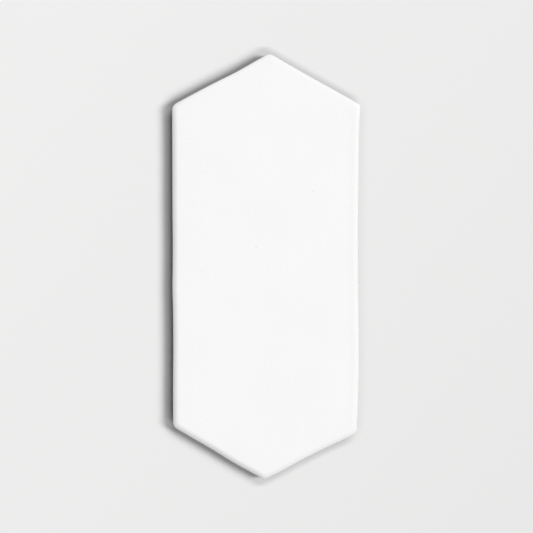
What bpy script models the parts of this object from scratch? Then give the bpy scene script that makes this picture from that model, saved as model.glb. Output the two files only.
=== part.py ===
"""A picket tile: an elongated hexagon of white glazed clay with a hand-cut, softly waving edge.

The glazed face looks up (+Z), the bare back rests on z = 0, and the long axis is Y.
The origin is in the middle of the back. Seen from above, the corners are named clockwise from the top.
"""
import math

import bmesh
import bpy
from mathutils import Vector

MM = 0.001

# The true shape, before the hand moved its corners
TILE_LENGTH = 203.2 * MM    # from point to point
TILE_WIDTH = 88.9 * MM      # between the two long sides
POINT_HEIGHT = 24.3 * MM    # from the shoulders to the point
THICKNESS = 9.0 * MM        # from the back to the mean level of the face

# The corners: how far each was cut off its true place along X and Y, and the radius it was rubbed to
CORNERS = {
    "top": (1.8 * MM, 0.2 * MM, 3.6 * MM),
    "upper_right": (0.6 * MM, 0.0 * MM, 2.2 * MM),
    "lower_right": (-1.0 * MM, -2.1 * MM, 4.2 * MM),
    "bottom": (-0.7 * MM, 0.0 * MM, 2.8 * MM),
    "lower_left": (0.2 * MM, 1.0 * MM, 3.8 * MM),
    "upper_left": (-0.3 * MM, -0.3 * MM, 4.0 * MM),
}

# The slow waves of each side, named by the corner that it starts from: the place of the wave as a
# share of the side, its outward height, and its reach to either hand
SIDE_WAVES = {
    "top": [(0.37, -0.15 * MM, 28.0 * MM)],
    "upper_right": [
        (0.11, -0.30 * MM, 18.0 * MM),
        (0.32, -0.45 * MM, 51.0 * MM),
        (0.80, 0.70 * MM, 38.0 * MM),
    ],
    "lower_right": [(0.43, -0.50 * MM, 24.0 * MM)],
    "bottom": [(0.30, 0.33 * MM, 13.0 * MM)],
    "lower_left": [
        (0.27, -0.20 * MM, 29.0 * MM),
        (0.43, 0.15 * MM, 10.0 * MM),
        (0.58, -0.10 * MM, 14.0 * MM),
    ],
    "upper_left": [(0.66, -0.40 * MM, 16.0 * MM)],
}
WAVE_FADE = 5.0 * MM        # the waves die out over this length before each corner

# The rounded top edge of each side, rubbed by hand and so unlike on each: how wide it is seen from
# above, how deep it is seen from the side, and how high the bead of glaze stands along its inner line
SIDE_EDGES = {
    "top": (1.9 * MM, 0.43 * MM, 0.02 * MM),
    "upper_right": (2.1 * MM, 0.50 * MM, 0.16 * MM),
    "lower_right": (2.6 * MM, 0.72 * MM, 0.0 * MM),
    "bottom": (2.8 * MM, 1.22 * MM, 0.0 * MM),
    "lower_left": (2.8 * MM, 1.22 * MM, 0.0 * MM),
    "upper_left": (2.2 * MM, 0.53 * MM, 0.0 * MM),
}
EDGE_TURN = 0.45 * MM       # radius of the tighter turn from the rounded edge into the side
EDGE_EASE = 9.0 * MM        # one side's edge runs into the next over this length to either hand
BEAD_REACH = 2.8 * MM       # the bead has sunk into the face at this distance from its top

# The rest of the section
BACK_CHAMFER = 0.6 * MM     # broken foot of the side
SIDE_DRAFT = 0.4 * MM       # how far the foot stands inside the widest line
CROWN_RISE = 0.18 * MM      # the face falls away by this much towards its edge
CROWN_REACH = 17.0 * MM     # and starts to do so at this distance from it

# The unevenness of the face: direction of each wave in degrees, its length, its height and its phase
FACE_WAVES = [
    (22.0, 96.0 * MM, 0.07 * MM, 40.0),
    (104.0, 61.0 * MM, 0.06 * MM, 200.0),
    (63.0, 39.0 * MM, 0.04 * MM, 115.0),
]

# The shallow keying grooves pressed into the back
GROOVE_PITCH = 12.0 * MM
GROOVE_WIDTH = 4.6 * MM
GROOVE_DEPTH = 0.8 * MM
GROOVE_SLOPE = 0.5 * MM     # how far a groove's wall leans in over its depth
GROOVE_BORDER = 8.0 * MM    # plain margin left round the grooves

# Fineness of the mesh
SIDE_STEP = 4.2 * MM
CORNER_STEPS = 6
TURN_STEPS = 3
ARRIS_STEPS = 5
FIELD_STEPS = 10
FIELD_SPREAD = 1.8          # above 1, the rings of the face stand closer near its edge
GROOVE_END_STEPS = 6
SHARP_ANGLE = math.radians(34.0)

GLAZE_COLOUR = (0.905, 0.905, 0.895, 1.0)
GLAZE_ROUGHNESS = 0.28

HALF_WIDTH = TILE_WIDTH / 2
HALF_LENGTH = TILE_LENGTH / 2
SHOULDER = HALF_LENGTH - POINT_HEIGHT
HIP_ANGLE = math.atan2(POINT_HEIGHT, HALF_WIDTH)
# The circle that touches a long side and both hips of a point has its centre at this height
RIDGE_END = max(HALF_LENGTH - HALF_WIDTH / math.cos(HIP_ANGLE), 0.0)


def clear_scene():
    for item in list(bpy.data.objects):
        bpy.data.objects.remove(item, do_unlink=True)


def corner_points():
    """Each corner's place, true hexagon first and then its own small shift."""
    true_places = {
        "top": (0.0, HALF_LENGTH),
        "upper_right": (HALF_WIDTH, SHOULDER),
        "lower_right": (HALF_WIDTH, -SHOULDER),
        "bottom": (0.0, -HALF_LENGTH),
        "lower_left": (-HALF_WIDTH, -SHOULDER),
        "upper_left": (-HALF_WIDTH, SHOULDER),
    }
    places = {}
    for name, (shift_x, shift_y, _) in CORNERS.items():
        true_x, true_y = true_places[name]
        places[name] = Vector((true_x + shift_x, true_y + shift_y))
    return places


def fillet(before, corner, after, radius):
    """Points of the arc that rounds a corner, from the side before it to the side after it."""
    back = (before - corner).normalized()
    ahead = (after - corner).normalized()
    half_angle = back.angle(ahead) / 2
    tangent = radius / math.tan(half_angle)
    centre = corner + (back + ahead).normalized() * radius / math.sin(half_angle)
    start = corner + back * tangent - centre
    sweep = math.pi - 2 * half_angle
    points = []
    for step in range(CORNER_STEPS + 1):
        turn = -sweep * step / CORNER_STEPS
        cos_turn, sin_turn = math.cos(turn), math.sin(turn)
        points.append(centre + Vector((
            start.x * cos_turn - start.y * sin_turn,
            start.x * sin_turn + start.y * cos_turn,
        )))
    return points


def side_shift(along, side_length, waves):
    """How far a side stands outside its straight line, at a distance along it."""
    shift = 0.0
    for place, height, reach in waves:
        gap = abs(along - place * side_length) / reach
        if gap < 1.0:
            shift += height * (1.0 + math.cos(math.pi * gap)) / 2
    to_corner = min(along, side_length - along)
    return shift * min(1.0, to_corner / WAVE_FADE)


def side_points(start, end, waves, steps):
    """The inner points of one side, between the arcs of its two corners."""
    run = end - start
    ahead = run.normalized()
    outward = Vector((-ahead.y, ahead.x))
    points = []
    for step in range(1, steps):
        along = run.length * step / steps
        points.append(start + ahead * along + outward * side_shift(along, run.length, waves))
    return points


def ridge_levels(steps):
    """Where the points of a long side look to on the ridge, from the top down."""
    levels = []
    for step in range(steps + 1):
        level = SHOULDER * (1 - 2 * step / steps)
        levels.append(min(max(level, -RIDGE_END), RIDGE_END))
    return levels


def eased_edge(before, after, past_corner):
    """The edge sizes at a distance past the middle of a corner, on the way from one side to the next."""
    share = min(max((past_corner / EDGE_EASE + 1) / 2, 0.0), 1.0)
    share = share * share * (3 - 2 * share)
    pairs = zip(SIDE_EDGES[before], SIDE_EDGES[after])
    return [first + (last - first) * share for first, last in pairs]


def tile_outline():
    """The widest line of the tile: its points clockwise from the top, each with its place on the ridge
    and its edge sizes.

    The ridge is the middle line of the face. Every point of the outline looks to one place on it,
    so that moving all points towards the ridge by the same share insets the outline evenly.
    """
    places = corner_points()
    names = list(CORNERS)
    arcs = {}
    for number, name in enumerate(names):
        before = places[names[number - 1]]
        after = places[names[(number + 1) % len(names)]]
        arcs[name] = fillet(before, places[name], after, CORNERS[name][2])

    long_steps = max(round(2 * SHOULDER / SIDE_STEP), 2)
    hip_steps = max(round(math.hypot(HALF_WIDTH, POINT_HEIGHT) / SIDE_STEP), 2)
    levels = ridge_levels(long_steps)
    points = []
    ridge = []
    edges = []
    for number, name in enumerate(names):
        before = names[number - 1]
        following = names[(number + 1) % len(names)]
        arc = arcs[name]
        half_arc = (arc[0] - arc[-1]).length / 2
        for step in range(len(arc)):
            past_corner = half_arc * (2 * step / CORNER_STEPS - 1)
            edges.append(eased_edge(before, name, past_corner))

        is_upper = places[name].y > 0
        end_level = levels[0] if is_upper else levels[-1]
        if name in ("upper_right", "lower_left"):
            side = side_points(arc[-1], arcs[following][0], SIDE_WAVES[name], long_steps)
            inner_levels = levels[1:-1]
            side_levels = inner_levels if is_upper else inner_levels[::-1]
        else:
            side = side_points(arc[-1], arcs[following][0], SIDE_WAVES[name], hip_steps)
            side_levels = [end_level] * len(side)
        for point in side:
            from_start = (point - arc[-1]).length
            to_end = (arcs[following][0] - point).length
            if from_start < to_end:
                edges.append(eased_edge(before, name, half_arc + from_start))
            else:
                half_next_arc = (arcs[following][0] - arcs[following][-1]).length / 2
                edges.append(eased_edge(name, following, -half_next_arc - to_end))
        points += arc + side
        ridge += [end_level] * len(arc) + side_levels

    middle_x = (min(p.x for p in points) + max(p.x for p in points)) / 2
    middle_y = (min(p.y for p in points) + max(p.y for p in points)) / 2
    centred = [Vector((p.x - middle_x, p.y - middle_y)) for p in points]
    return list(zip(centred, ridge, edges))


def face_drop(inset, bead_place, bead_rise):
    """How far the face has fallen from its mean level at this distance from the edge, less the bead."""
    from_crown = max(1.0 - inset / CROWN_REACH, 0.0)
    from_bead = min(abs(inset - bead_place) / BEAD_REACH, 1.0)
    return CROWN_RISE * from_crown ** 2 - bead_rise * (1 + math.cos(math.pi * from_bead)) / 2


def edge_section(width, drop, bead):
    """Steps of (inset from the widest line, height), from the foot of the side to the ridge.

    The side turns over a small radius into the rounded edge, which flattens evenly into the face.
    """
    slope = math.atan2(2 * drop, width)
    tangent = EDGE_TURN * math.tan((math.pi / 2 - slope) / 2)
    turn_level = THICKNESS - drop - face_drop(0.0, width, bead) - tangent
    steps = [(SIDE_DRAFT + BACK_CHAMFER, 0.0), (SIDE_DRAFT, BACK_CHAMFER)]
    for step in range(TURN_STEPS + 1):
        turn = (math.pi / 2 - slope) * step / TURN_STEPS
        steps.append((EDGE_TURN * (1 - math.cos(turn)), turn_level + EDGE_TURN * math.sin(turn)))
    turn_end = tangent * math.cos(slope)
    for step in range(1, ARRIS_STEPS + 1):
        inset = turn_end + (width - turn_end) * step / ARRIS_STEPS
        fallen = drop * (1 - inset / width) ** 2 + face_drop(inset, width, bead)
        steps.append((inset, THICKNESS - fallen))
    for step in range(1, FIELD_STEPS):
        inset = width + (HALF_WIDTH - width) * (step / FIELD_STEPS) ** FIELD_SPREAD
        steps.append((inset, THICKNESS - face_drop(inset, width, bead)))
    return steps


def face_shift(x, y):
    """Height of the slow waves of the face."""
    shift = 0.0
    for direction, length, height, phase in FACE_WAVES:
        turn = math.radians(direction)
        along = x * math.cos(turn) + y * math.sin(turn)
        shift += height * math.sin(2 * math.pi * along / length + math.radians(phase))
    return shift


def bridge(mesh, lower, upper):
    """Join two rings of the same count, leaving out the sides that have shrunk to a point."""
    for number, start in enumerate(lower):
        following = (number + 1) % len(lower)
        corners = [start, lower[following], upper[following], upper[number]]
        if corners[2] is corners[3]:
            corners.pop()
        mesh.faces.new(corners)


def tile_mesh():
    """The tile's solid: rings of the outline, lofted up the edge and in to the ridge of the face."""
    body = bmesh.new()
    ridge_verts = {}
    columns = []
    for point, level, edge in tile_outline():
        if level not in ridge_verts:
            height = THICKNESS + face_shift(0.0, level)
            ridge_verts[level] = body.verts.new((0.0, level, height))
        column = []
        for inset, height in edge_section(*edge):
            spot = point.lerp(Vector((0.0, level)), inset / HALF_WIDTH)
            rise = face_shift(spot.x, spot.y) if height > BACK_CHAMFER else 0.0
            column.append(body.verts.new((spot.x, spot.y, height + rise)))
        columns.append(column + [ridge_verts[level]])

    rings = list(zip(*columns))
    for lower, upper in zip(rings, rings[1:]):
        bridge(body, lower, upper)
    body.faces.new(rings[0])
    bmesh.ops.recalc_face_normals(body, faces=body.faces)
    mesh = bpy.data.meshes.new("picket_tile")
    body.to_mesh(mesh)
    body.free()
    mesh.shade_smooth()
    mesh.set_sharp_from_angle(angle=SHARP_ANGLE)
    return mesh


def groove_loop(cutter, across, run, width, height):
    """One level of a groove's outline: a long slot with round ends, as verts."""
    radius = width / 2
    straight = max(run - radius, 0.0)
    verts = []
    for end in (1, -1):
        for step in range(GROOVE_END_STEPS + 1):
            turn = math.pi * step / GROOVE_END_STEPS
            x = across + end * radius * math.cos(turn)
            y = end * (straight + radius * math.sin(turn))
            verts.append(cutter.verts.new((x, y, height)))
    return verts


def groove_cutter():
    """The raised bars of the press that leave the grooves, in pairs to either side of the middle."""
    cutter = bmesh.new()
    across = GROOVE_PITCH / 2
    while across + GROOVE_WIDTH / 2 + GROOVE_BORDER < HALF_WIDTH:
        outer_edge = across + GROOVE_WIDTH / 2
        margin = GROOVE_BORDER / math.cos(HIP_ANGLE)
        run = HALF_LENGTH - outer_edge * math.tan(HIP_ANGLE) - margin
        for side in (-1, 1):
            # The bar starts as far below the back as it reaches above it
            foot = groove_loop(cutter, side * across, run, GROOVE_WIDTH + 2 * GROOVE_SLOPE, -GROOVE_DEPTH)
            tip = groove_loop(cutter, side * across, run, GROOVE_WIDTH - 2 * GROOVE_SLOPE, GROOVE_DEPTH)
            bridge(cutter, foot, tip)
            cutter.faces.new(foot)
            cutter.faces.new(tip)
        across += GROOVE_PITCH
    bmesh.ops.recalc_face_normals(cutter, faces=cutter.faces)
    mesh = bpy.data.meshes.new("groove_bars")
    cutter.to_mesh(mesh)
    cutter.free()
    bars = bpy.data.objects.new("groove_bars", mesh)
    bars.hide_render = True
    bars.display_type = "WIRE"
    bpy.context.scene.collection.objects.link(bars)
    return bars


def glaze():
    material = bpy.data.materials.new("white_glaze")
    material.use_nodes = True
    shader = material.node_tree.nodes["Principled BSDF"]
    shader.inputs["Base Color"].default_value = GLAZE_COLOUR
    shader.inputs["Roughness"].default_value = GLAZE_ROUGHNESS
    shader.inputs["Metallic"].default_value = 0.0
    return material


def picket_tile():
    """The one fired piece, with its grooves cut into the back."""
    tile = bpy.data.objects.new("picket_tile", tile_mesh())
    tile.data.materials.append(glaze())
    bpy.context.scene.collection.objects.link(tile)
    grooves = tile.modifiers.new("keying_grooves", "BOOLEAN")
    grooves.operation = "DIFFERENCE"
    grooves.solver = "EXACT"
    grooves.object = groove_cutter()
    return tile


clear_scene()
picket_tile()
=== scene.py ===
"""The looks of a white picket tile, lying face up and seen from straight above."""

import math

import bpy
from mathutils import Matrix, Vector, noise


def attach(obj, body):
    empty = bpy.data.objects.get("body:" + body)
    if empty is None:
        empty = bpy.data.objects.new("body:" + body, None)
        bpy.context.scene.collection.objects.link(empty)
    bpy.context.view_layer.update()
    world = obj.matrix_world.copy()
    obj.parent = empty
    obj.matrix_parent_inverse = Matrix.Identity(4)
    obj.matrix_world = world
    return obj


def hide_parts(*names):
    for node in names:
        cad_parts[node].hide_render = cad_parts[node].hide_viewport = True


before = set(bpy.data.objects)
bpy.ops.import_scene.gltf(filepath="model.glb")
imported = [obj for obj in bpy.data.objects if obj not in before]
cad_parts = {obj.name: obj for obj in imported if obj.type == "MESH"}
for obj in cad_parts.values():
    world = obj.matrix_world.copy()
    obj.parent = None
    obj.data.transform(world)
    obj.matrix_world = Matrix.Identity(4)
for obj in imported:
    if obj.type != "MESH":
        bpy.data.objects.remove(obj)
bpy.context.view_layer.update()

MM = 0.001
WHITE = (1.0, 1.0, 1.0, 1.0)

# The photograph's frame
IMAGE_SIZE = 533
MM_PER_PIXEL = 0.4771
TILE_MIDDLE_PIXEL = (266.17, 266.69)
CAMERA_HEIGHT = 1.1         # over the widest line of the tile
WIDEST_LINE = 7.4 * MM
SENSOR_WIDTH = 36.0

# Lamps: how bright each makes a white surface, then where it stands and how far it spreads,
# both as run over rise from the tile
LAMP_HEIGHT = 16.0
FLOOR_LAMPS = {
    "floor_key": (0.451, (0.816, 0.0), (0.325, 0.148)),
    "floor_key_upper": (0.240, (0.414, 0.548), (0.45, 0.08)),
    "floor_key_lower": (0.240, (0.414, -0.548), (0.45, 0.08)),
}
TILE_LAMPS = {
    "side_key": (0.285, (0.98, 0.59), (0.3, 0.3)),
    "overhead": (0.86, (0.0, 0.0), (0.55, 0.55)),
}
SKY_LEVEL = 0.06

# The floor
FLOOR_WIDTH = 6.0
FLOOR_COLOUR = (0.845, 0.845, 0.842)
FLOOR_ROUGHNESS = 0.9
FLOOR_BOUNCE = (0.15, 0.15, 0.15, 1.0)  # its colour for the light that it sends back to the tile
PAINTED_CONTACT_REACH = 5.1 * MM    # painted shadow: the floor's colour darkens this close to the tile, as in a narrow gap
PAINTED_CONTACT_SHADE = 0.19        # the painted shadow darkens it by this share where no open sky is left
PAINTED_LIGHT_FALLOFF = (-0.23, 0.12, 0.0)         # painted fall-off of light: share of brightness gained per metre along each axis
PAINTED_FALLOFF_LIMIT = 0.04     # the most that the painted fall-off gains or loses

# Merging the copy of the CAD mesh, and the softness of its pressed and broken edges
MERGE_GAP = 0.02 * MM
FLAT_ANGLE = math.radians(0.5)
QUAD_ANGLE = math.radians(25.0)
BACK_TOP = 0.95 * MM        # the grooves and the broken foot lie below this height
FACING_DOWN = -0.999        # rise of the normal of a flat of the back, at most
DEAD_FLAT = -0.9999         # the same, once the flats have small rounds beside them
PRESSED_EDGE = 0.22 * MM
PRESSED_ANGLE = math.radians(30.0)
PRESSED_SEGMENTS = 2
SUBDIVISIONS = 2
SMOOTH_ANGLE = math.radians(40.0)

# The glaze line round the side
GLAZE_LINE = 1.9 * MM
GLAZE_ROWS = [1.3, 1.55, 1.75, 1.9, 2.05, 2.3, 2.8, 3.8, 5.2]       # in millimetres
SIDE_FACE_RISE = 0.3        # a face of the side has a normal that rises less than this
SIDE_POINT_RISE = 0.45      # and a point of the side no more than this
GLAZE_LINE_WAVES = [(26.0 * MM, 0.50 * MM), (7.0 * MM, 0.16 * MM)]  # length and height
GLAZE_LINE_GAIN = 1.6       # the noise seldom passes 0.6, so this brings the waves to height
GLAZE_LINE_FADE = 2.6 * MM  # the waves die out this far above the line
BARE_RECESS = 0.16 * MM     # the bare clay lies this far back
RECESS_START = 0.6 * MM     # from above the broken foot
RECESS_EASE = 0.4 * MM      # and in full from this much higher
LIP_STEP = 0.14 * MM
LIP_ROLL = 0.07 * MM
LIP_HEIGHT = 0.9 * MM
LIP_SKEW = 0.6              # under 1, the lip stands out most below the middle of its height

# The unevenness of the glaze on the face
FACE_RIPPLES = [(19.0 * MM, 0.060 * MM), (8.0 * MM, 0.016 * MM)]    # length and height
FACE_POINT_RISE = 0.2       # a point of the face has a normal that rises at least this much

# Pinholes in the glaze: place from the middle of the tile, radius and depth, in millimetres
PINHOLES = [
    (22.2, 35.9, 0.34, 0.16),
    (23.7, 37.8, 0.22, 0.08),
    (-5.0, 9.1, 0.36, 0.16),
    (-8.8, -61.5, 0.28, 0.09),
    (-30.8, -2.3, 0.26, 0.08),
    (21.7, -33.4, 0.24, 0.08),
    (17.9, -52.0, 0.22, 0.06),
    (-23.6, 28.2, 0.22, 0.06),
]
PINHOLE_CUTS = 4
PINHOLE_REACH = 2.4         # a pinhole fades out this many radii from its middle
PINHOLE_MARGIN = 0.3 * MM   # the mesh is cut finer this much further out
PINHOLE_STAIN = 0.8         # radius of its dark bottom, as a share of its own
DEEPEST_PINHOLE = 0.16

# Finishes
GLAZE_PALE = (0.940, 0.940, 0.940, 1.0)
GLAZE_DEEP = (0.932, 0.932, 0.931, 1.0)
GLAZE_THIN = (0.925, 0.918, 0.903, 1.0)
PINHOLE_COLOUR = (0.55, 0.52, 0.48, 1.0)
GLAZE_ROUGHNESS = (0.25, 0.31)
GLAZE_RELIEF = 0.012 * MM
CLAY_PALE = (0.80, 0.765, 0.70, 1.0)
CLAY_DEEP = (0.735, 0.69, 0.615, 1.0)
CLAY_SPECK = (0.45, 0.36, 0.28, 1.0)
CLAY_ROUGHNESS = (0.82, 0.95)
CLAY_RELIEF = 0.09 * MM


def clamp(value):
    return min(max(value, 0.0), 1.0)


def select_only(piece):
    bpy.ops.object.select_all(action="DESELECT")
    piece.select_set(True)
    bpy.context.view_layer.objects.active = piece


def edit_faces(piece, wanted, operator, **settings):
    """Run one operator in edit mode, on the faces of a piece that the test wants."""
    select_only(piece)
    mesh = piece.data
    chosen = [wanted(face) for face in mesh.polygons]
    mesh.vertices.foreach_set("select", [False] * len(mesh.vertices))
    mesh.edges.foreach_set("select", [False] * len(mesh.edges))
    mesh.polygons.foreach_set("select", chosen)
    bpy.ops.object.mode_set(mode="EDIT")
    bpy.ops.mesh.select_mode(type="FACE")
    operator(**settings)
    bpy.ops.object.mode_set(mode="OBJECT")


def apply_modifier(piece, kind, **settings):
    bpy.context.view_layer.objects.active = piece
    modifier = piece.modifiers.new(kind.lower(), kind)
    for name, value in settings.items():
        setattr(modifier, name, value)
    bpy.ops.object.modifier_apply(modifier=modifier.name)


def merge_triangles(piece):
    """Join the loose triangles of the CAD copy into quads, and its flat back into one sheet."""
    edit_faces(piece, lambda face: True, bpy.ops.mesh.remove_doubles, threshold=MERGE_GAP)
    edit_faces(
        piece,
        lambda face: face.center.z < BACK_TOP and face.normal.z < FACING_DOWN,
        bpy.ops.mesh.dissolve_limited, angle_limit=FLAT_ANGLE,
    )
    edit_faces(
        piece,
        lambda face: len(face.vertices) == 3,
        bpy.ops.mesh.tris_convert_to_quads,
        face_threshold=QUAD_ANGLE, shape_threshold=QUAD_ANGLE * 2,
    )
    piece.data.shade_smooth()


def soften_back(piece):
    """Round the pressed edges of the grooves and the broken foot a little."""
    apply_modifier(
        piece, "BEVEL", width=PRESSED_EDGE, segments=PRESSED_SEGMENTS, limit_method="ANGLE",
        angle_limit=PRESSED_ANGLE, loop_slide=False,
    )
    edit_faces(
        piece,
        lambda face: len(face.vertices) > 4,
        bpy.ops.mesh.quads_convert_to_tris, ngon_method="BEAUTY",
    )


def cut_glaze_rows(piece):
    """Cut level rows into the side, close together where the glaze ends."""
    for height in GLAZE_ROWS:
        edit_faces(
            piece,
            lambda face: abs(face.normal.z) < SIDE_FACE_RISE and face.center.z > BACK_TOP,
            bpy.ops.mesh.bisect, plane_co=(0, 0, height * MM), plane_no=(0, 0, 1),
        )


def crease_back(piece):
    """Keep the back as it is pressed while the rest is smoothed."""
    mesh = piece.data
    creases = mesh.attributes.new("crease_edge", "FLOAT", "EDGE")
    for edge in mesh.edges:
        if max(mesh.vertices[number].co.z for number in edge.vertices) < BACK_TOP:
            creases.data[edge.index].value = 1.0


def sharpen_flats(piece):
    """Shade the flats of the back as flat, up to the small rounds that border them."""
    mesh = piece.data
    flat_sides = {}
    for face in mesh.polygons:
        is_flat = face.center.z < BACK_TOP and face.normal.z < DEAD_FLAT
        for key in face.edge_keys:
            flat_sides.setdefault(key, []).append(is_flat)
    for edge in mesh.edges:
        sides = flat_sides[edge.key]
        if any(sides) and not all(sides):
            edge.use_edge_sharp = True


def waves(place, layers, gain=1.0):
    """Slow random waves, one over the other, at a place on the tile."""
    total = 0.0
    for length, height in layers:
        spot = Vector((place.x / length, place.y / length, length / MM))
        total += height * noise.noise(spot) * gain
    return total


def lip_offset(above):
    """How far the side stands out, at this height above the end of the glaze."""
    if above < 0.0:
        return -BARE_RECESS * min(1.0, -above / LIP_STEP)
    if above < LIP_HEIGHT:
        return LIP_ROLL * math.sin(math.pi * (above / LIP_HEIGHT) ** LIP_SKEW)
    return 0.0


def shape_glaze_line(piece):
    """Let the end of the glaze wander up and down the side, as a thin lip over the bare clay."""
    mesh = piece.data
    normals = [vertex.normal.copy() for vertex in mesh.vertices]
    for vertex, normal in zip(mesh.vertices, normals):
        height = vertex.co.z
        if abs(normal.z) > SIDE_POINT_RISE or height > GLAZE_LINE + GLAZE_LINE_FADE:
            continue
        above = height - GLAZE_LINE
        foot_share = clamp(height / GLAZE_LINE)
        top_share = clamp(1 - above / GLAZE_LINE_FADE)
        shift = waves(vertex.co, GLAZE_LINE_WAVES, GLAZE_LINE_GAIN) * foot_share * top_share
        foot_ease = clamp((height - RECESS_START) / RECESS_EASE)
        outward = Vector((normal.x, normal.y, 0.0)).normalized()
        vertex.co += outward * lip_offset(above) * foot_ease
        vertex.co.z += shift


def ripple_face(piece):
    """The slight unevenness of poured glaze."""
    rises = [vertex.normal.z for vertex in piece.data.vertices]
    for vertex, rise in zip(piece.data.vertices, rises):
        if rise >= FACE_POINT_RISE:
            vertex.co.z += waves(vertex.co, FACE_RIPPLES) * rise


def points_near(piece, middle, reach):
    """The points of the face that lie this close to a place, each with its distance from it."""
    for vertex in piece.data.vertices:
        gap = (vertex.co.xy - middle).length
        if gap < reach and vertex.co.z > WIDEST_LINE:
            yield vertex, gap


def press_pinholes(piece):
    """Small pits where gas left the glaze, each cut finer first."""
    for across, along, radius, depth in PINHOLES:
        middle = Vector((across * MM, along * MM))
        reach = radius * PINHOLE_REACH * MM
        fine_reach = reach + PINHOLE_MARGIN
        edit_faces(
            piece,
            lambda face: (
                (face.center.xy - middle).length < fine_reach and face.center.z > WIDEST_LINE
            ),
            bpy.ops.mesh.subdivide, number_cuts=PINHOLE_CUTS,
        )
        for vertex, gap in points_near(piece, middle, reach):
            vertex.co.z -= depth * MM * math.exp(-(gap / (radius * MM)) ** 2)


def mark_thin_glaze(piece):
    """Keep where the glaze has drawn thin: on the turn of the edge, and in the pinholes."""
    mesh = piece.data
    # 1 where the face has turned half way to the side, and 0 on either
    turn = [max(4 * vertex.normal.z * (1 - vertex.normal.z), 0.0) for vertex in mesh.vertices]
    mesh.attributes.new("thin_glaze", "FLOAT", "POINT").data.foreach_set("value", turn)
    pits = [0.0] * len(mesh.vertices)
    for across, along, radius, depth in PINHOLES:
        middle = Vector((across * MM, along * MM))
        for vertex, gap in points_near(piece, middle, radius * PINHOLE_REACH * MM):
            share = math.exp(-(gap / (PINHOLE_STAIN * radius * MM)) ** 2)
            pits[vertex.index] = share * depth / DEEPEST_PINHOLE
    mesh.attributes.new("pinhole", "FLOAT", "POINT").data.foreach_set("value", pits)


def add_node(tree, kind, attributes=None, **values):
    """A node with its settings and with the values of its named inputs."""
    node = tree.nodes.new(kind)
    for name, value in (attributes or {}).items():
        setattr(node, name, value)
    for name, value in values.items():
        node.inputs[name.replace("_", " ")].default_value = value
    return node


def new_group(name, inputs, outputs):
    """An empty shader group, from the name, kind and value of its inputs and of its outputs."""
    group = bpy.data.node_groups.new(name, "ShaderNodeTree")
    for label, kind, value in inputs:
        socket = group.interface.new_socket(label, in_out="INPUT", socket_type=kind)
        if value is not None:
            socket.default_value = value
    for label, kind in outputs:
        group.interface.new_socket(label, in_out="OUTPUT", socket_type=kind)
    return group, group.nodes.new("NodeGroupInput"), group.nodes.new("NodeGroupOutput")


def mottle_group():
    """Soft patches that run between a pale and a deep colour."""
    group, given, result = new_group(
        "mottle",
        [
            ("Place", "NodeSocketVector", None),
            ("Patches per metre", "NodeSocketFloat", 60.0),
            ("Pale", "NodeSocketColor", WHITE),
            ("Deep", "NodeSocketColor", (0.9, 0.9, 0.9, 1.0)),
        ],
        [("Colour", "NodeSocketColor"), ("Mask", "NodeSocketFloat")],
    )
    links = group.links
    patches = add_node(group, "ShaderNodeTexNoise", Detail=2.5, Roughness=0.45)
    links.new(given.outputs["Place"], patches.inputs["Vector"])
    links.new(given.outputs["Patches per metre"], patches.inputs["Scale"])
    mask = add_node(
        group, "ShaderNodeMapRange", {"interpolation_type": "SMOOTHSTEP"},
        From_Min=0.25, From_Max=0.75,
    )
    links.new(patches.outputs["Fac"], mask.inputs["Value"])
    blend = add_node(group, "ShaderNodeMix", {"data_type": "RGBA"})
    links.new(mask.outputs["Result"], blend.inputs["Factor"])
    links.new(given.outputs["Pale"], blend.inputs["A"])
    links.new(given.outputs["Deep"], blend.inputs["B"])
    links.new(blend.outputs["Result"], result.inputs["Colour"])
    links.new(mask.outputs["Result"], result.inputs["Mask"])
    return group


def grain_group():
    """The height of a fine relief, from 0 to 1: broad swells with small grains on them."""
    group, given, result = new_group(
        "grain",
        [
            ("Place", "NodeSocketVector", None),
            ("Swells per metre", "NodeSocketFloat", 300.0),
            ("Grains per metre", "NodeSocketFloat", 2000.0),
            ("Share of grains", "NodeSocketFloat", 0.3),
        ],
        [("Height", "NodeSocketFloat")],
    )
    links = group.links
    swells = add_node(group, "ShaderNodeTexNoise", Detail=2.0, Roughness=0.5)
    grains = add_node(group, "ShaderNodeTexNoise", Detail=3.0, Roughness=0.6)
    for noise_node, density in ((swells, "Swells per metre"), (grains, "Grains per metre")):
        links.new(given.outputs["Place"], noise_node.inputs["Vector"])
        links.new(given.outputs[density], noise_node.inputs["Scale"])
    blend = add_node(group, "ShaderNodeMix", {"data_type": "FLOAT"})
    links.new(given.outputs["Share of grains"], blend.inputs["Factor"])
    links.new(swells.outputs["Fac"], blend.inputs["A"])
    links.new(grains.outputs["Fac"], blend.inputs["B"])
    links.new(blend.outputs["Result"], result.inputs["Height"])
    return group


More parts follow.
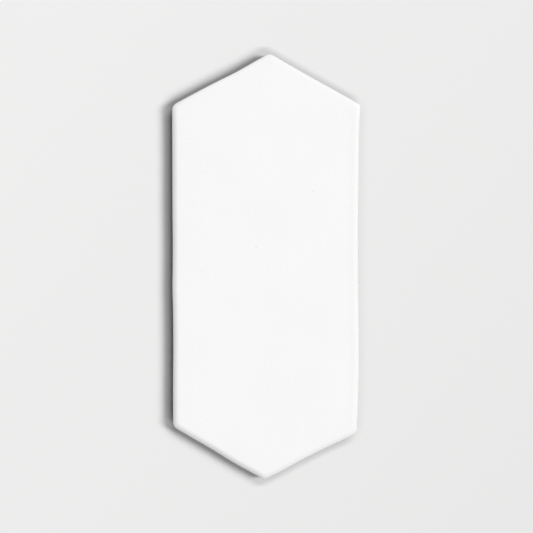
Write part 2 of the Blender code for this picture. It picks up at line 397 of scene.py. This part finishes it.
def speck_group():
    """A mask of scattered round specks of unlike size, one or none in each cell."""
    group, given, result = new_group(
        "specks",
        [
            ("Place", "NodeSocketVector", None),
            ("Cells per metre", "NodeSocketFloat", 300.0),
            ("Largest", "NodeSocketFloat", 0.2),
        ],
        [("Mask", "NodeSocketFloat")],
    )
    links = group.links
    cells = add_node(group, "ShaderNodeTexVoronoi", Randomness=1.0)
    links.new(given.outputs["Place"], cells.inputs["Vector"])
    links.new(given.outputs["Cells per metre"], cells.inputs["Scale"])
    # Each cell draws a number, and a cell that draws a low one stays empty
    draw = add_node(group, "ShaderNodeSeparateColor")
    links.new(cells.outputs["Color"], draw.inputs["Color"])
    size = add_node(group, "ShaderNodeMapRange", From_Min=0.6, From_Max=1.0)
    links.new(draw.outputs["Red"], size.inputs["Value"])
    links.new(given.outputs["Largest"], size.inputs["To Max"])
    inside = add_node(group, "ShaderNodeMath", {"operation": "SUBTRACT"})
    links.new(size.outputs["Result"], inside.inputs[0])
    links.new(cells.outputs["Distance"], inside.inputs[1])
    mask = add_node(group, "ShaderNodeMapRange", From_Min=0.0, From_Max=0.06)
    links.new(inside.outputs["Value"], mask.inputs["Value"])
    links.new(mask.outputs["Result"], result.inputs["Mask"])
    return group


def new_material(name, **settings):
    """A material with its shader's plain settings, and the place that its patterns read."""
    material = bpy.data.materials.new(name)
    material.use_nodes = True
    tree = material.node_tree
    shader = tree.nodes["Principled BSDF"]
    for label, value in settings.items():
        shader.inputs[label.replace("_", " ")].default_value = value
    place = add_node(tree, "ShaderNodeTexCoord")
    return material, tree, shader, place.outputs["Object"]


def use_group(tree, group, place, **values):
    node = add_node(tree, "ShaderNodeGroup", {"node_tree": group}, **values)
    tree.links.new(place, node.inputs["Place"])
    return node


def tint(tree, below, mask, colour, strength):
    """Lay a colour over another one where a mask is high."""
    share = add_node(tree, "ShaderNodeMath", {"operation": "MULTIPLY"})
    share.inputs[1].default_value = strength
    tree.links.new(mask, share.inputs[0])
    blend = add_node(tree, "ShaderNodeMix", {"data_type": "RGBA"}, B=colour)
    tree.links.new(share.outputs["Value"], blend.inputs["Factor"])
    tree.links.new(below, blend.inputs["A"])
    return blend.outputs["Result"]


def relief(tree, shader, height, depth):
    """Feed a height from 0 to 1 to the shader's normal, as a relief of this depth."""
    bump = add_node(tree, "ShaderNodeBump", Strength=1.0, Distance=depth)
    tree.links.new(height, bump.inputs["Height"])
    tree.links.new(bump.outputs["Normal"], shader.inputs["Normal"])


def vary_roughness(tree, shader, mask, smooth, rough):
    spread = add_node(tree, "ShaderNodeMapRange", To_Min=smooth, To_Max=rough)
    tree.links.new(mask, spread.inputs["Value"])
    tree.links.new(spread.outputs["Result"], shader.inputs["Roughness"])


def glaze(groups):
    """Satin white glaze: faintly uneven in tone and gloss, warmer where it has drawn thin."""
    material, tree, shader, place = new_material("white_glaze", IOR=1.5)
    cloud = use_group(
        tree, groups["mottle"], place,
        Patches_per_metre=48.0, Pale=GLAZE_PALE, Deep=GLAZE_DEEP,
    )
    thin = add_node(tree, "ShaderNodeAttribute", {"attribute_name": "thin_glaze"})
    pinhole = add_node(tree, "ShaderNodeAttribute", {"attribute_name": "pinhole"})
    colour = tint(tree, cloud.outputs["Colour"], thin.outputs["Fac"], GLAZE_THIN, strength=0.35)
    colour = tint(tree, colour, pinhole.outputs["Fac"], PINHOLE_COLOUR, strength=0.5)
    tree.links.new(colour, shader.inputs["Base Color"])
    gloss = use_group(tree, groups["mottle"], place, Patches_per_metre=130.0)
    vary_roughness(tree, shader, gloss.outputs["Mask"], *GLAZE_ROUGHNESS)
    peel = use_group(
        tree, groups["grain"], place,
        Swells_per_metre=260.0, Grains_per_metre=900.0, Share_of_grains=0.25,
    )
    relief(tree, shader, peel.outputs["Height"], GLAZE_RELIEF)
    return material


def bare_clay(groups):
    """Fired, unglazed clay: matt, off-white and grainy, with a few darker grains."""
    material, tree, shader, place = new_material("bare_clay", Specular_IOR_Level=0.3)
    cloud = use_group(
        tree, groups["mottle"], place,
        Patches_per_metre=85.0, Pale=CLAY_PALE, Deep=CLAY_DEEP,
    )
    specks = use_group(tree, groups["specks"], place, Cells_per_metre=420.0, Largest=0.16)
    colour = tint(tree, cloud.outputs["Colour"], specks.outputs["Mask"], CLAY_SPECK, strength=0.45)
    tree.links.new(colour, shader.inputs["Base Color"])
    dry = use_group(tree, groups["mottle"], place, Patches_per_metre=300.0)
    vary_roughness(tree, shader, dry.outputs["Mask"], *CLAY_ROUGHNESS)
    grain = use_group(
        tree, groups["grain"], place,
        Swells_per_metre=500.0, Grains_per_metre=2600.0, Share_of_grains=0.6,
    )
    relief(tree, shader, grain.outputs["Height"], CLAY_RELIEF)
    return material


def glazed_tile(node):
    """The tile with its glaze: a finer copy of the CAD tile, bare on the back and the foot."""
    piece = bpy.data.objects.new("glazed_tile", node.data.copy())
    bpy.context.scene.collection.objects.link(piece)
    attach(piece, "root")
    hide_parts("picket_tile")
    merge_triangles(piece)
    soften_back(piece)
    cut_glaze_rows(piece)
    crease_back(piece)
    apply_modifier(piece, "SUBSURF", levels=SUBDIVISIONS, render_levels=SUBDIVISIONS)
    mesh = piece.data
    mesh.materials.clear()
    groups = {"mottle": mottle_group(), "grain": grain_group(), "specks": speck_group()}
    mesh.materials.append(glaze(groups))
    mesh.materials.append(bare_clay(groups))
    for face in mesh.polygons:
        face.material_index = 1 if face.center.z < GLAZE_LINE else 0
    shape_glaze_line(piece)
    ripple_face(piece)
    press_pinholes(piece)
    mark_thin_glaze(piece)
    mesh.shade_smooth()
    select_only(piece)
    bpy.ops.object.shade_smooth_by_angle(angle=SMOOTH_ANGLE, keep_sharp_edges=True)
    sharpen_flats(piece)
    return piece


def add_camera():
    """A camera straight above, framed as the photograph is."""
    view_width = IMAGE_SIZE * MM_PER_PIXEL * MM
    middle = IMAGE_SIZE / 2
    across = (middle - TILE_MIDDLE_PIXEL[0]) * MM_PER_PIXEL * MM
    along = (TILE_MIDDLE_PIXEL[1] - middle) * MM_PER_PIXEL * MM
    camera_data = bpy.data.cameras.new("camera_above")
    camera_data.sensor_width = SENSOR_WIDTH
    camera_data.lens = SENSOR_WIDTH * CAMERA_HEIGHT / view_width
    camera = bpy.data.objects.new("camera_above", camera_data)
    camera.location = (across, along, WIDEST_LINE + CAMERA_HEIGHT)
    bpy.context.scene.collection.objects.link(camera)
    bpy.context.scene.camera = camera


def add_lamp(name, level, run, spread, lit):
    """A flat oval lamp that faces down, and by itself makes a white surface this bright."""
    data = bpy.data.lights.new(name, "AREA")
    data.shape = "ELLIPSE"
    data.size = 2 * spread[0] * LAMP_HEIGHT
    data.size_y = 2 * spread[1] * LAMP_HEIGHT
    slant = 1 + run[0] ** 2 + run[1] ** 2
    data.energy = level * math.pi ** 2 * (LAMP_HEIGHT * slant) ** 2
    lamp = bpy.data.objects.new(name, data)
    lamp.location = (run[0] * LAMP_HEIGHT, run[1] * LAMP_HEIGHT, LAMP_HEIGHT)
    bpy.context.scene.collection.objects.link(lamp)
    lamp.light_linking.receiver_collection = lit
    return lamp


def lit_alone(name, thing):
    """A collection that keeps the light of some lamps to one thing."""
    lit = bpy.data.collections.new(name)
    lit.objects.link(thing)
    return lit


def add_lights(tile, floor):
    """Lamps for the tile, others for the floor with its shadow, and an even room."""
    lit_tile = lit_alone("lit_tile", tile)
    tile.visible_diffuse = False    # no light goes from the tile to the floor
    lit_floor = lit_alone("lit_floor", floor)
    for name, placing in FLOOR_LAMPS.items():
        add_lamp(name, *placing, lit_floor)
    for name, placing in TILE_LAMPS.items():
        lamp = add_lamp(name, *placing, lit_tile)
        lamp.visible_glossy = name != "overhead"    # it leaves no image of itself in the glaze

    world = bpy.data.worlds.new("soft_room")
    world.use_nodes = True
    background = world.node_tree.nodes["Background"]
    background.inputs["Color"].default_value = WHITE
    background.inputs["Strength"].default_value = SKY_LEVEL
    bpy.context.scene.world = world


def floor_finish():
    """A matt pale floor that sends little light back up at the tile, with a painted contact shadow
    round the tile and a painted fall-off of light across it.
    """
    material, tree, shader, place = new_material(
        "floor", Roughness=FLOOR_ROUGHNESS, Specular_IOR_Level=0.0,
    )
    links = tree.links

    # Its full colour shows to the camera and in the glaze only
    rays = add_node(tree, "ShaderNodeLightPath")
    seen = add_node(tree, "ShaderNodeMath", {"operation": "MAXIMUM"})
    links.new(rays.outputs["Is Camera Ray"], seen.inputs[0])
    links.new(rays.outputs["Is Glossy Ray"], seen.inputs[1])
    colour = add_node(tree, "ShaderNodeMix", {"data_type": "RGBA"}, A=FLOOR_BOUNCE)
    links.new(seen.outputs["Value"], colour.inputs["Factor"])

    # Painted contact shadow: the colour is darker close to the tile
    painted_shadow_occlusion = add_node(tree, "ShaderNodeAmbientOcclusion", Distance=PAINTED_CONTACT_REACH)
    painted_shadow_factor = add_node(tree, "ShaderNodeMapRange", To_Min=1 - PAINTED_CONTACT_SHADE)
    links.new(painted_shadow_occlusion.outputs["AO"], painted_shadow_factor.inputs["Value"])

    # A painted fall-off of light, from one corner of the view to the other
    slope = add_node(tree, "ShaderNodeVectorMath", {"operation": "DOT_PRODUCT"})
    slope.inputs[1].default_value = PAINTED_LIGHT_FALLOFF
    links.new(place, slope.inputs[0])
    painted_falloff = add_node(
        tree, "ShaderNodeMapRange",
        From_Min=-PAINTED_FALLOFF_LIMIT, From_Max=PAINTED_FALLOFF_LIMIT,
        To_Min=1 - PAINTED_FALLOFF_LIMIT, To_Max=1 + PAINTED_FALLOFF_LIMIT,
    )
    links.new(slope.outputs["Value"], painted_falloff.inputs["Value"])

    # The floor's colour, darkened by the painted contact shadow and the painted fall-off of light
    level = add_node(tree, "ShaderNodeMath", {"operation": "MULTIPLY"})
    links.new(painted_shadow_factor.outputs["Result"], level.inputs[0])
    links.new(painted_falloff.outputs["Result"], level.inputs[1])
    painted_floor_colour = add_node(tree, "ShaderNodeVectorMath", {"operation": "SCALE"}, Vector=FLOOR_COLOUR)
    links.new(level.outputs["Value"], painted_floor_colour.inputs["Scale"])
    links.new(painted_floor_colour.outputs["Vector"], colour.inputs["B"])
    links.new(colour.outputs["Result"], shader.inputs["Base Color"])
    return material


def add_floor():
    bpy.ops.mesh.primitive_plane_add(size=FLOOR_WIDTH)
    floor = bpy.context.object
    floor.name = "floor"
    floor.data.materials.append(floor_finish())
    return floor


bpy.ops.object.select_all(action="DESELECT")
bpy.context.scene.view_settings.view_transform = "Standard"
add_camera()
tile = glazed_tile(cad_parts["picket_tile"])
add_lights(tile, add_floor())
